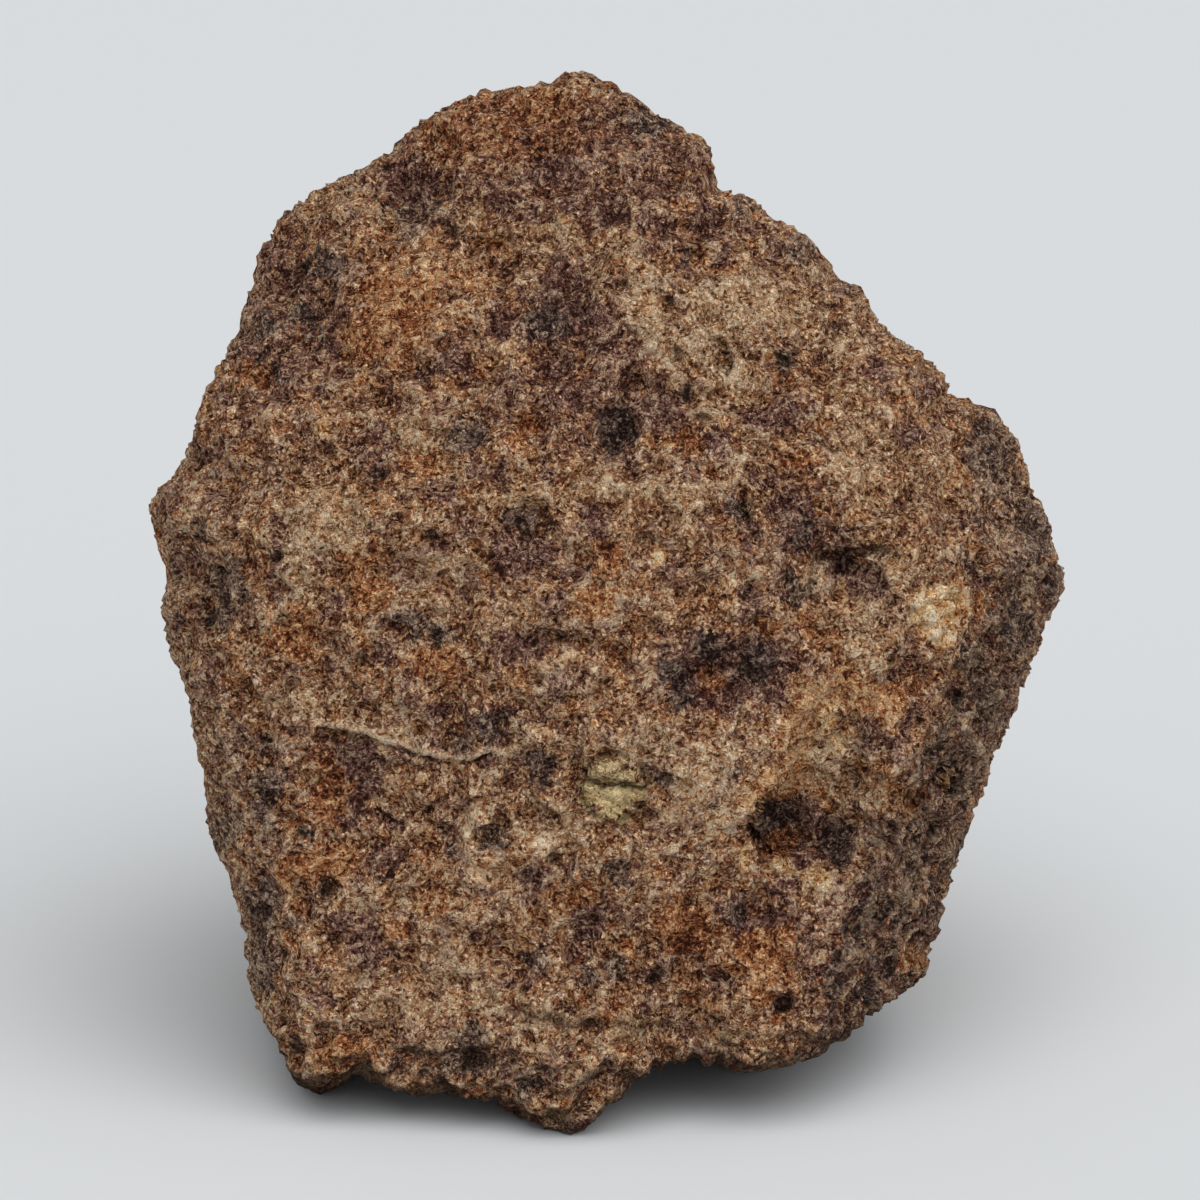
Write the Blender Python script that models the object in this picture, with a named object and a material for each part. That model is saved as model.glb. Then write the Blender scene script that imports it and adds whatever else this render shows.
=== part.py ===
"""A stony meteorite about as large as a fist, broken on every side and worn round at its edges.

The stone is laid out in millimetres with its broad broken front faced squarely: x runs across, y from
front to back and z up. It is then tipped back onto the four worn points that it stands on.
"""
import math

import bmesh
import bpy
import numpy as np
from mathutils import Matrix, Vector, noise

MM = 0.001

# Driving dimensions
TIP_BACK = math.radians(15.0)
STAND = (-0.6, -1.5, 38.1)
EDGE_WEAR = 1.0
OUTLINE_WEAR = 0.7
FOOT_BLEND = 1.6
DEPTH_SPREAD = 1.0 / 450.0
MIDDLE_RADIUS = 36.0
FARTHEST = 80.0
HALVINGS = 20
TRIANGLES = 8400

# The outline seen squarely from the front, clockwise from the crown, as x and z at mid depth. It and
# the relief close in toward the front and open toward the back by DEPTH_SPREAD of their size a mm.
CROWN = [(-3.0, 44.9), (-0.9, 44.8), (3.1, 42.7), (7.5, 39.8), (9.7, 38.6)]
RIGHT_SHOULDER = [
    (10.0, 36.6), (10.7, 34.8), (13.9, 33.4), (17.7, 30.9), (20.3, 27.3), (22.3, 26.5), (25.0, 22.4),
    (29.4, 19.0),
]
RIGHT_CORNER = [
    (30.0, 17.5), (33.3, 16.5), (35.3, 13.8), (36.7, 9.5), (38.5, 4.7), (39.4, 1.6), (37.8, -2.4),
]
RIGHT_FLANK = [(36.0, -7.1), (33.2, -13.9), (30.3, -22.4), (28.2, -30.2), (27.5, -32.1)]
RIGHT_UNDERSIDE = [(23.5, -34.9), (18.7, -38.7), (12.8, -40.2), (7.7, -39.2), (4.5, -40.3)]
MIDDLE_POINT = [(2.0, -42.5), (-0.1, -44.2), (-2.6, -45.3), (-5.5, -44.6), (-9.1, -42.8)]
LEFT_UNDERSIDE = [(-15.3, -42.2), (-18.8, -41.1), (-21.0, -41.1), (-23.1, -42.2), (-25.6, -41.0)]
LEFT_FLANK = [
    (-27.4, -37.7), (-30.0, -32.5), (-30.5, -28.1), (-31.5, -23.7), (-33.4, -18.8), (-33.6, -15.0),
    (-34.9, -8.4), (-37.3, -0.4), (-36.7, 1.9), (-38.3, 7.8),
]
LEFT_SHOULDER = [
    (-36.5, 10.6), (-34.8, 13.8), (-33.7, 17.5), (-30.9, 22.7), (-29.3, 28.9), (-27.2, 32.5),
    (-22.7, 35.5),
]
LEFT_CREST = [(-20.1, 36.7), (-18.3, 38.0), (-15.5, 40.5), (-11.9, 42.5), (-9.7, 43.4), (-6.0, 43.7)]
OUTLINE = (
    CROWN + RIGHT_SHOULDER + RIGHT_CORNER + RIGHT_FLANK + RIGHT_UNDERSIDE + MIDDLE_POINT
    + LEFT_UNDERSIDE + LEFT_FLANK + LEFT_SHOULDER + LEFT_CREST
)

# Fracture faces: a point on each, then its turn to the right of the front and its lift, in degrees
FRACTURE_FACES = {
    "lower front, left": ((-12.0, -27.0, 5.0), -4.0, -12.0),
    "lower front, right": ((16.0, -26.0, -3.0), 12.0, -12.0),
    "middle front": ((0.0, -26.6, 9.0), 2.0, 10.0),
    "upper front, left": ((-12.0, -24.0, 14.0), -16.0, 34.0),
    "upper front, right": ((12.0, -24.0, 14.0), 20.0, 30.0),
    "left shoulder": ((-26.0, -12.6, 24.0), -48.0, 34.0),
    "left side": ((-31.0, -23.3, -4.0), -55.0, -3.0),
    "left side, low": ((-27.0, -19.5, -24.0), -50.0, -14.0),
    "right side": ((25.9, -21.0, -16.2), 62.0, -22.0),
    "right corner": ((30.6, -21.5, -3.4), 58.0, 14.0),
    "crown back": ((-1.0, 1.0, 44.0), 176.0, 58.0),
    "left crest back": ((-22.0, 3.0, 36.0), -150.0, 44.0),
    "right crest back": ((20.0, 3.0, 29.0), 146.0, 38.0),
    "back": ((2.0, 31.0, 2.0), 174.0, 5.0),
    "back left": ((-33.0, 8.0, 2.0), -122.0, 4.0),
    "back right": ((37.5, 9.0, 2.0), 122.0, -6.0),
    "back, upper left": ((-12.0, 25.0, 24.0), -158.0, 34.0),
    "back, lower left": ((-20.0, 17.0, -26.0), -146.0, -26.0),
    "back, lower right": ((20.0, 16.0, -24.0), 142.0, -28.0),
    "underside": ((0.0, 0.0, -36.1), 180.0, -75.0),
    "right underside": ((20.0, -4.0, -37.5), 104.0, -56.0),
}

# Worn points that the stone stands on: centre and radii of each
FEET = {
    "middle": ((-2.8, -12.5, -37.4), (7.0, 6.5, 7.6)),
    "left": ((-22.5, -6.5, -34.5), (5.5, 6.0, 7.0)),
    "right": ((14.5, 0.0, -32.8), (6.5, 7.0, 7.1)),
    "back": ((1.0, 17.0, -28.5), (8.0, 7.0, 7.0)),
}

# Soft lumps and hollows seen squarely from the front: x and z, radii across and up, rise
FRONT_RELIEF = {
    "scoop": ((19.8, -17.6), (6.5, 9.0), -2.6),
    "cavity in the scoop": ((15.5, -19.5), (4.5, 4.5), -2.2),
    "scoop, lower end": ((13.5, -26.0), (6.5, 5.0), -1.2),
    "ridge right of the scoop": ((25.0, -15.0), (3.0, 10.0), 1.3),
    "right ledge pocket": ((21.8, 2.2), (4.2, 3.6), -1.8),
    "left side pit": ((-32.8, 1.0), (2.8, 4.6), -1.8),
    "dent under the crest": ((-9.0, 29.0), (9.0, 5.0), -1.2),
    "dent on the right slope": ((3.0, 14.5), (7.0, 5.0), -1.2),
    "dent right of middle": ((8.0, -6.0), (8.0, 5.0), -0.9),
    "dent at the lower left": ((-21.0, -18.0), (6.0, 8.0), -0.8),
    "arch between the points": ((-14.0, -41.0), (7.0, 5.0), -1.4),
    "groove beside the middle point": ((7.2, -36.0), (4.5, 7.0), -2.6),
    "slot in the right side": ((22.5, -27.0), (2.2, 5.5), -1.2),
    "hollow in the right side": ((27.5, -22.0), (3.0, 6.0), -1.0),
    "diagonal ridge": ((5.5, 21.0), (4.5, 7.0), 1.1),
    "middle point": ((-2.5, -37.0), (8.0, 8.0), 1.5),
    "left corner": ((-36.0, 8.0), (4.0, 4.0), 1.0),
    "crest": ((-8.0, 39.5), (10.0, 4.0), 0.8),
    "middle of the front": ((-6.0, -10.0), (11.0, 13.0), 0.8),
}

# The same for the back, as if seen through the stone from the front
BACK_RELIEF = {
    "long scoop": ((-9.0, 6.0), (9.0, 17.0), -3.4),
    "upper dent": ((13.0, 22.0), (8.0, 7.0), -2.4),
    "thumb dent": ((17.0, -8.0), (7.5, 9.0), -2.8),
    "lower dent": ((-12.0, -22.0), (9.0, 7.0), -2.2),
    "edge notch": ((-29.0, 18.0), (6.0, 6.0), -2.0),
    "side pocket": ((31.0, 3.0), (5.0, 8.0), -1.8),
    "spine": ((4.0, 4.0), (5.0, 16.0), 2.2),
    "lower knob": ((3.0, -20.0), (7.0, 6.0), 2.0),
    "left knob": ((-25.0, -4.0), (6.0, 8.0), 1.6),
    "upper knob": ((-1.0, 33.0), (7.0, 5.0), 1.5),
}

# Ledges on the front: the step's line as x and z, how far the side on the right of the way it runs
# stands out, and how far that takes to die away
LEDGES = {
    "long ledge": ([(-31.0, 9.0), (-20.0, 10.0), (-10.0, 10.3), (0.0, 9.6), (11.0, 10.4)], 1.1, 9.0),
    "right ledge": ([(16.0, 2.5), (18.5, 4.2), (21.0, 4.0), (25.0, 4.8)], -1.0, 4.0),
    "crack ledge": ([(-8.0, -13.5), (-13.0, -14.0), (-18.0, -12.0), (-24.0, -10.8)], 0.7, 5.0),
    "middle point ledge": ([(-8.0, -34.5), (-4.0, -35.2), (1.0, -35.6), (5.0, -36.0)], 0.8, 6.0),
    "scoop rim": ([(12.8, -18.5), (14.4, -14.9), (16.5, -11.6), (16.7, -9.4), (21.3, -6.7)], -1.6, 5.0),
}
LEDGE_EDGE = 0.6
LEDGE_END = 3.0

# Roughness: size of the lumps and how far they rise or sink
LUMP_SIZE = 9.0
LUMP_RISE = 1.2
FINE_LUMP_SIZE = 0.0036
FINE_LUMP_RISE = 0.0013

STONE_COLOUR = (0.115, 0.062, 0.032, 1.0)
STONE_ROUGHNESS = 0.9


def face_normal(turn, lift):
    """Outward direction of a face turned and lifted from facing the front."""
    turn = math.radians(turn)
    lift = math.radians(lift)
    return np.array([
        math.sin(turn) * math.cos(lift),
        -math.cos(turn) * math.cos(lift),
        math.sin(lift),
    ])


def smooth_max(values, wear):
    """The largest of several distances, with the edge between them worn round."""
    stack = np.stack(values)
    top = stack.max(axis=0)
    return top + wear * np.log(np.exp((stack - top) / wear).sum(axis=0))


def smooth_min(values, wear):
    return -smooth_max([-value for value in values], wear)


def smooth_step(start, end, value):
    t = np.clip((value - start) / (end - start), 0.0, 1.0)
    return t * t * (3.0 - 2.0 * t)


def outline_distance(points):
    """How far points lie outside the outline."""
    outline = np.array(OUTLINE)
    angles = np.arctan2(outline[:, 1], outline[:, 0])
    order = np.argsort(angles)
    radii = np.hypot(outline[:, 0], outline[:, 1])
    angle = np.arctan2(points[:, 2], points[:, 0])
    radius = np.hypot(points[:, 0], points[:, 2]) / (1.0 + points[:, 1] * DEPTH_SPREAD)
    return radius - np.interp(angle, angles[order], radii[order], period=2.0 * math.pi)


def ellipsoid_distance(points, centre, radii):
    scaled = (points - np.array(centre)) / np.array(radii)
    return (np.linalg.norm(scaled, axis=1) - 1.0) * min(radii)


def dome(points, place, radii):
    """A soft dome of height 1 seen along y, 0 beyond its radii."""
    across = (points[:, 0] - place[0]) / radii[0]
    up = (points[:, 2] - place[1]) / radii[1]
    return np.clip(1.0 - across ** 2 - up ** 2, 0.0, None) ** 1.5


def ledge_rise(points, line, height, fade):
    """A step along a line: the side on its right stands out, or is sunk where the height is below 0."""
    x = points[:, 0]
    z = points[:, 2]
    nearest = np.full(len(points), FARTHEST)
    side = np.zeros(len(points))
    to_end = np.zeros(len(points))
    for (x0, z0), (x1, z1) in zip(line, line[1:]):
        length = math.hypot(x1 - x0, z1 - z0)
        along = np.clip(((x - x0) * (x1 - x0) + (z - z0) * (z1 - z0)) / length ** 2, 0.0, 1.0)
        off = np.hypot(x - x0 - along * (x1 - x0), z - z0 - along * (z1 - z0))
        right = ((x - x0) * (z1 - z0) - (z - z0) * (x1 - x0)) / length
        foot_x = x0 + along * (x1 - x0)
        foot_z = z0 + along * (z1 - z0)
        gap = np.minimum(
            np.hypot(foot_x - line[0][0], foot_z - line[0][1]),
            np.hypot(foot_x - line[-1][0], foot_z - line[-1][1]),
        )
        closer = off < nearest
        nearest = np.where(closer, off, nearest)
        side = np.where(closer, right, side)
        to_end = np.where(closer, gap, to_end)
    signed = np.where(side > 0.0, nearest, -nearest)
    step = smooth_step(-LEDGE_EDGE, LEDGE_EDGE, signed)
    return height * step * np.exp(-nearest / fade) * smooth_step(0.0, LEDGE_END, to_end)


def relief(points):
    """How far the ledges, lumps and hollows of the front and back stand out from the faces."""
    front = 1.0 - smooth_step(-8.0, 2.0, points[:, 1])
    back = smooth_step(2.0, 10.0, points[:, 1])
    drawn = points / (1.0 + points[:, 1:2] * DEPTH_SPREAD)
    rise = np.zeros(len(points))
    for line, height, fade in LEDGES.values():
        rise += front * ledge_rise(drawn, line, height, fade)
    for place, radii, height in FRONT_RELIEF.values():
        rise += front * height * dome(drawn, place, radii)
    for place, radii, height in BACK_RELIEF.values():
        rise += back * height * dome(drawn, place, radii)
    return rise


def stone_distance(points, lumps):
    """How far points lie outside the stone, below 0 inside it."""
    faces = []
    for point, turn, lift in FRACTURE_FACES.values():
        faces.append((points - np.array(point)) @ face_normal(turn, lift))
    body = smooth_max(faces, EDGE_WEAR) - relief(points) - lumps
    feet = [ellipsoid_distance(points, centre, radii) for centre, radii in FEET.values()]
    body = smooth_min([body] + feet, FOOT_BLEND)
    return smooth_max([body, outline_distance(points)], OUTLINE_WEAR)


def lumps_along(directions):
    """Rise of the broad lumps that cover the whole stone, one value for each direction."""
    places = directions * (MIDDLE_RADIUS / LUMP_SIZE)
    return LUMP_RISE * np.array([noise.fractal(Vector(place), 1.0, 2.0, 2) for place in places])


def shape_stone(mesh):
    """Moves each vertex of a sphere along its own line from the middle out to the stone's surface."""
    coordinates = np.empty(len(mesh.vertices) * 3)
    mesh.vertices.foreach_get("co", coordinates)
    directions = coordinates.reshape(-1, 3)
    directions /= np.linalg.norm(directions, axis=1, keepdims=True)
    lumps = lumps_along(directions)
    near = np.zeros(len(directions))
    far = np.full(len(directions), FARTHEST)
    for _ in range(HALVINGS):
        middle = (near + far) / 2.0
        outside = stone_distance(directions * middle[:, None], lumps) > 0.0
        far = np.where(outside, middle, far)
        near = np.where(outside, near, middle)
    surface = directions * near[:, None]
    mesh.vertices.foreach_set("co", (surface * MM).ravel())


def add_fine_lumps(stone):
    texture = bpy.data.textures.new("fine_lumps", "CLOUDS")
    texture.noise_scale = FINE_LUMP_SIZE
    texture.noise_depth = 1
    displace = stone.modifiers.new("fine_lumps", "DISPLACE")
    displace.texture = texture
    displace.texture_coords = "LOCAL"
    displace.strength = FINE_LUMP_RISE
    displace.mid_level = 0.5


def stone_material():
    material = bpy.data.materials.new("weathered_stone")
    material.use_nodes = True
    shader = material.node_tree.nodes["Principled BSDF"]
    shader.inputs["Base Color"].default_value = STONE_COLOUR
    shader.inputs["Roughness"].default_value = STONE_ROUGHNESS
    shader.inputs["Metallic"].default_value = 0.0
    return material


def make_ground(collection):
    """A block under the stone that trims its worn points flat."""
    mesh = bpy.data.meshes.new("ground")
    shape = bmesh.new()
    bmesh.ops.create_cube(shape, size=1.0)
    shape.to_mesh(mesh)
    shape.free()
    ground = bpy.data.objects.new("ground", mesh)
    ground.scale = (0.12, 0.12, 0.02)
    ground.location = (0.0, 0.0, -0.01)
    ground.hide_render = True
    ground.display_type = "WIRE"
    collection.objects.link(ground)
    return ground


def make_stone(collection, ground):
    mesh = bpy.data.meshes.new("stone")
    shape = bmesh.new()
    bmesh.ops.create_icosphere(shape, subdivisions=7, radius=1.0)
    shape.to_mesh(mesh)
    shape.free()
    shape_stone(mesh)
    lean = Matrix.Rotation(-TIP_BACK, 4, "X")
    stand = Matrix.Translation([distance * MM for distance in STAND])
    mesh.transform(stand @ lean)
    mesh.shade_smooth()
    stone = bpy.data.objects.new("stone", mesh)
    stone.data.materials.append(stone_material())
    collection.objects.link(stone)
    add_fine_lumps(stone)
    simplify = stone.modifiers.new("facets", "DECIMATE")
    simplify.ratio = TRIANGLES / len(mesh.polygons)
    trim = stone.modifiers.new("worn_flats", "BOOLEAN")
    trim.operation = "DIFFERENCE"
    trim.solver = "EXACT"
    trim.object = ground
    return stone


def main():
    for item in list(bpy.data.objects):
        bpy.data.objects.remove(item, do_unlink=True)
    meteorite = bpy.data.collections.new("meteorite")
    cutters = bpy.data.collections.new("cutters")
    for collection in (meteorite, cutters):
        bpy.context.scene.collection.children.link(collection)
    ground = make_ground(cutters)
    make_stone(meteorite, ground)


if __name__ == "__main__":
    main()
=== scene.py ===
import math
import random

import bpy
import numpy as np
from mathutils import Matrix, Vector, noise


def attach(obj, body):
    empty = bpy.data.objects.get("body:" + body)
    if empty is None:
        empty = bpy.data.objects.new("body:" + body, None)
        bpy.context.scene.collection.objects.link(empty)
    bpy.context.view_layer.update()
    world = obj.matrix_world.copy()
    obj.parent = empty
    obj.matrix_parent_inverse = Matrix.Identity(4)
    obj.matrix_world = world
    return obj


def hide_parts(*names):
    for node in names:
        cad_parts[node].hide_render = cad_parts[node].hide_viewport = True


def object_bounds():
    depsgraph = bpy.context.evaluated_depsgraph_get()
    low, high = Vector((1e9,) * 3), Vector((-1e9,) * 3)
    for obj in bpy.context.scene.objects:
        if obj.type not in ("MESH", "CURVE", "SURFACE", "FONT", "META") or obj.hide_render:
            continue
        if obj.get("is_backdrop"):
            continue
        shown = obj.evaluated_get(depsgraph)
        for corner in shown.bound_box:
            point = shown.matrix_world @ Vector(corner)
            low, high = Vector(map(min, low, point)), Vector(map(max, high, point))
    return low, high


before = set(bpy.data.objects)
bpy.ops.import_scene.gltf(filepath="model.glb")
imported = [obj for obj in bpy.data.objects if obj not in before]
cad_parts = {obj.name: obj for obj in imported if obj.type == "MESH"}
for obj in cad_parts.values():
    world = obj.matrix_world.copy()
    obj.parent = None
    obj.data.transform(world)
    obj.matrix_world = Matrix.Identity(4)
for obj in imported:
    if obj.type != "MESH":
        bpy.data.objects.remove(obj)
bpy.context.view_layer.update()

bpy.ops.object.select_all(action="DESELECT")

# The camera. It looks at the middle of the stone from 450 mm away and 15 degrees above level, and
# takes in 102 mm at that distance.
MM = 0.001
CAMERA_DISTANCE = 450 * MM
CAMERA_LIFT = math.radians(15.0)
PICTURE_WIDTH = 102 * MM
SENSOR_WIDTH = 36.0
STONE_MIDDLE = Vector((-0.6, -1.5, 38.1)) * MM
looking = Vector((0.0, math.cos(CAMERA_LIFT), -math.sin(CAMERA_LIFT)))
camera_data = bpy.data.cameras.new("camera")
camera_data.sensor_width = SENSOR_WIDTH
camera_data.lens = SENSOR_WIDTH * CAMERA_DISTANCE / PICTURE_WIDTH
camera = bpy.data.objects.new("camera", camera_data)
camera.location = STONE_MIDDLE - looking * CAMERA_DISTANCE
camera.rotation_euler = (math.radians(90.0) - CAMERA_LIFT, 0.0, 0.0)
bpy.context.scene.collection.objects.link(camera)
bpy.context.scene.camera = camera

# The light: a wide softbox overhead, another high on the right and a weak one on the left, all
# somewhat in front, and pale walls all round. The shadows are soft and the paper is lit evenly.
SOFTBOXES = {
    # name: from where, how wide in degrees as the stone sees it, and how strong
    "softbox, overhead": ((0.15, -0.60, 1.00), 60.0, 1.54),
    "softbox, right": ((0.65, -0.70, 0.85), 90.0, 0.82),
    "softbox, left": ((-0.80, -0.70, 0.60), 60.0, 0.22),
}
WALL_LIGHT = 0.32
bpy.context.scene.view_settings.view_transform = "Standard"
for name, (place, width, strength) in SOFTBOXES.items():
    light_data = bpy.data.lights.new(name, "SUN")
    light_data.angle = math.radians(width)
    light_data.energy = strength
    light = bpy.data.objects.new(name, light_data)
    light.location = place
    light.rotation_euler = Vector(place).to_track_quat("Z", "Y").to_euler()
    bpy.context.scene.collection.objects.link(light)
world = bpy.data.worlds.new("pale walls")
world.use_nodes = True
world.node_tree.nodes["Background"].inputs["Strength"].default_value = WALL_LIGHT
bpy.context.scene.world = world


# The floor: a wide sheet of pale grey paper, matte and a little cool. It has no edge in sight, so
# the stone stands alone on it.
def linear(hex_colour):
    """The linear colour, with alpha, of an sRGB hex value."""
    parts = [int(hex_colour[place:place + 2], 16) / 255.0 for place in (1, 3, 5)]
    return [
        part / 12.92 if part <= 0.04045 else ((part + 0.055) / 1.055) ** 2.4 for part in parts
    ] + [1.0]


def add(tree, kind, settings):
    """Adds a node. Each setting is its run of colours, one of its properties, or the name or number
    of an input, and a socket given for an input is linked to it."""
    made = tree.nodes.new("ShaderNode" + kind)
    for key, value in settings.items():
        if key == "colours":
            elements = made.color_ramp.elements
            elements[0].position, elements[1].position = value[0][0], value[-1][0]
            elements[0].color, elements[1].color = linear(value[0][1]), linear(value[-1][1])
            for place, colour in value[1:-1]:
                elements.new(place).color = linear(colour)
        elif isinstance(key, str) and hasattr(made, key):
            setattr(made, key, value)
        elif isinstance(value, bpy.types.NodeSocket):
            tree.links.new(value, made.inputs[key])
        else:
            made.inputs[key].default_value = value
    return made


PAPER = "#E4E7E9"
PAPER_ROUGHNESS = 0.9
WALLS = "#F0F1F3"
FLOOR_SIZE = 6.0
world.node_tree.nodes["Background"].inputs["Color"].default_value = linear(WALLS)
bpy.ops.mesh.primitive_plane_add(size=FLOOR_SIZE)
floor = bpy.context.active_object
floor.name = "floor"
paper = bpy.data.materials.new("matte paper")
paper.use_nodes = True
paper_shader = paper.node_tree.nodes["Principled BSDF"]
paper_shader.inputs["Base Color"].default_value = linear(PAPER)
paper_shader.inputs["Roughness"].default_value = PAPER_ROUGHNESS
floor.data.materials.append(paper)
floor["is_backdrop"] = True

# The stone, its body: one broken stony meteorite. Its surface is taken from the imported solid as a
# fine even skin, twice as fine on the broad broken front, and worn round by smoothing.
SKIN_SIZE = 0.85 * MM
SAME_POINT = 0.001 * MM
FRONT_EDGE = 0.02
WEAR = 0.5
WEAR_PASSES = 7
PIXEL = 0.085 * MM
PICTURE_MIDDLE = 600.0


def read(mesh, what):
    """A coordinate list of the mesh's vertices."""
    values = np.empty(len(mesh.vertices) * 3)
    mesh.vertices.foreach_get(what, values)
    return values.reshape(-1, 3)


def write(mesh, points):
    """Puts the vertices at points."""
    mesh.vertices.foreach_set("co", points.ravel())
    mesh.update()


def in_picture(points):
    """Where points lie in the photo, in its pixels across and down."""
    offset = points - np.array(STONE_MIDDLE)
    up = offset[:, 1] * math.sin(CAMERA_LIFT) + offset[:, 2] * math.cos(CAMERA_LIFT)
    back = offset[:, 1] * math.cos(CAMERA_LIFT) - offset[:, 2] * math.sin(CAMERA_LIFT)
    pixels = CAMERA_DISTANCE / (CAMERA_DISTANCE + back) / PIXEL
    return PICTURE_MIDDLE + offset[:, 0] * pixels, PICTURE_MIDDLE - up * pixels


def toward_camera(points, normals):
    """How squarely the surface faces the camera, from -1 to 1."""
    rays = np.array(camera.location) - points
    rays /= np.linalg.norm(rays, axis=1)[:, None]
    return (normals * rays).sum(axis=1)


def ease(values, start, end):
    """0 before start, 1 after end and a smooth rise between."""
    share = np.clip((values - start) / (end - start), 0.0, 1.0)
    return share * share * (3.0 - 2.0 * share)


def apply(kind, **settings):
    """Adds a modifier to the stone and applies it."""
    modifier = meteorite.modifiers.new(kind.lower(), kind)
    for key, value in settings.items():
        setattr(modifier, key, value)
    bpy.ops.object.modifier_apply(modifier=modifier.name)


def refine(chosen):
    """Divides the chosen vertices' faces in four."""
    mesh.vertices.foreach_set("select", chosen)
    bpy.ops.object.mode_set(mode="EDIT")
    bpy.ops.mesh.select_mode(type="VERT")
    bpy.ops.object.mode_set(mode="OBJECT")
    mesh.polygons.foreach_set("select", np.zeros(len(mesh.polygons), dtype=bool))
    mesh.edges.foreach_set("select", np.zeros(len(mesh.edges), dtype=bool))
    mesh.vertices.foreach_set("select", chosen)
    bpy.ops.object.mode_set(mode="EDIT")
    bpy.ops.mesh.subdivide(number_cuts=1)
    bpy.ops.object.mode_set(mode="OBJECT")


meteorite = bpy.data.objects.new("meteorite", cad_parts["stone"].data.copy())
bpy.context.scene.collection.objects.link(meteorite)
bpy.context.view_layer.objects.active = meteorite
meteorite.select_set(True)
bpy.ops.object.mode_set(mode="EDIT")
bpy.ops.mesh.select_all(action="SELECT")
bpy.ops.mesh.remove_doubles(threshold=SAME_POINT)
bpy.ops.mesh.normals_make_consistent(inside=False)
bpy.ops.object.mode_set(mode="OBJECT")
apply("REMESH", mode="VOXEL", voxel_size=SKIN_SIZE)
mesh = meteorite.data
points = read(mesh, "co")
refine(toward_camera(points, read(mesh, "normal")) > FRONT_EDGE)
apply("SMOOTH", factor=WEAR, iterations=WEAR_PASSES)

# The stone, its finest marks, where the skin is made finer again: cracks, ledges, raised veins, the
# round inclusion, the chalky patch, the rim of the scooped hollow and the small pits. Each place is
# in the photo's pixels, across and down.
LONG_CRACK = [
    (318, 730), (337, 732), (368, 739), (387, 745), (406, 754), (429, 758), (444, 764), (467, 762),
    (490, 756),
]
UPRIGHT_CRACK = [(745, 500), (747, 520), (751, 538)]
HOOK_CRACK = [(712, 338), (723, 342), (731, 362), (728, 374)]
INCLUSION_CRACK = [(584, 779), (602, 785), (622, 784), (646, 789)]
# across, down and radius
INCLUSION = (614, 787, 33)
CHALK_PATCH = (934, 612, 27)
SCOOP_RIM = [
    (868, 690), (850, 682), (822, 688), (804, 702), (796, 722), (794, 742), (786, 766), (770, 788),
    (752, 804), (748, 824), (754, 850),
]
LIGHT_RIDGES = [
    [(500, 775), (478, 800), (468, 834), (474, 858), (493, 889), (523, 914), (548, 935)],
    [(615, 300), (640, 330), (665, 365), (700, 395), (725, 410), (774, 446)],
    [(530, 496), (570, 490), (630, 486), (690, 488), (730, 484)],
    [(806, 590), (800, 620), (812, 650), (836, 672)],
    [(930, 720), (880, 790), (860, 830), (852, 872), (826, 940)],
    [(523, 727), (548, 733), (572, 742)],
    [(762, 687), (750, 705), (719, 730)],
    [(640, 250), (656, 290), (652, 330), (676, 372)],
]
RIGHT_LEDGE = [(806, 590), (806, 565), (814, 554), (846, 549), (880, 545)]
LOW_LEDGE = [(538, 1012), (570, 1019), (600, 1016), (628, 1022), (656, 1021)]
SLOT = [(866, 912), (850, 935), (836, 968)]
LINE_MARGIN = 11
VEIN_MARGIN = 8
PITS = [
    # across, down and radius
    (606, 257, 4), (622, 283, 5), (668, 301, 6), (675, 353, 7), (698, 417, 5), (688, 390, 6),
    (706, 418, 4), (784, 360, 8), (298, 312, 6), (452, 232, 8), (740, 506, 7), (276, 556, 6),
    (210, 618, 7), (300, 834, 7), (911, 835, 6), (929, 830, 6), (893, 830, 5), (940, 749, 6),
    (917, 798, 7), (959, 699, 6), (912, 976, 6), (888, 962, 6), (952, 784, 10), (842, 562, 12),
    (470, 1062, 13), (654, 976, 8), (326, 888, 7), (782, 1004, 8), (554, 858, 6), (430, 536, 5),
    (558, 636, 5), (890, 660, 5), (662, 780, 6), (360, 660, 5),
]


def line_distance(across, down, line):
    """The distance in pixels to a broken line, and the side, above zero to the right of it."""
    best = np.full(len(across), 1e9)
    side = np.zeros(len(across))
    for (x0, y0), (x1, y1) in zip(line, line[1:]):
        length = math.hypot(x1 - x0, y1 - y0)
        along = ((across - x0) * (x1 - x0) + (down - y0) * (y1 - y0)) / length ** 2
        along = np.clip(along, 0.0, 1.0)
        away = np.hypot(across - x0 - along * (x1 - x0), down - y0 - along * (y1 - y0))
        cross = ((x1 - x0) * (down - y0) - (y1 - y0) * (across - x0)) / length
        side = np.where(away < best, cross, side)
        best = np.minimum(best, away)
    return best, side


points = read(mesh, "co")
across, down = in_picture(points)
facing = toward_camera(points, read(mesh, "normal"))
fine = np.zeros(len(points), dtype=bool)
for line in (LONG_CRACK, UPRIGHT_CRACK, HOOK_CRACK, SCOOP_RIM, RIGHT_LEDGE, LOW_LEDGE, SLOT):
    fine |= line_distance(across, down, line)[0] < LINE_MARGIN
for line in LIGHT_RIDGES:
    fine |= line_distance(across, down, line)[0] < VEIN_MARGIN
for x, y, radius in PITS + [INCLUSION, CHALK_PATCH]:
    fine |= np.hypot(across - x, down - y) < radius * 1.25 + 5
refine(fine & (facing > 0.0))

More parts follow.
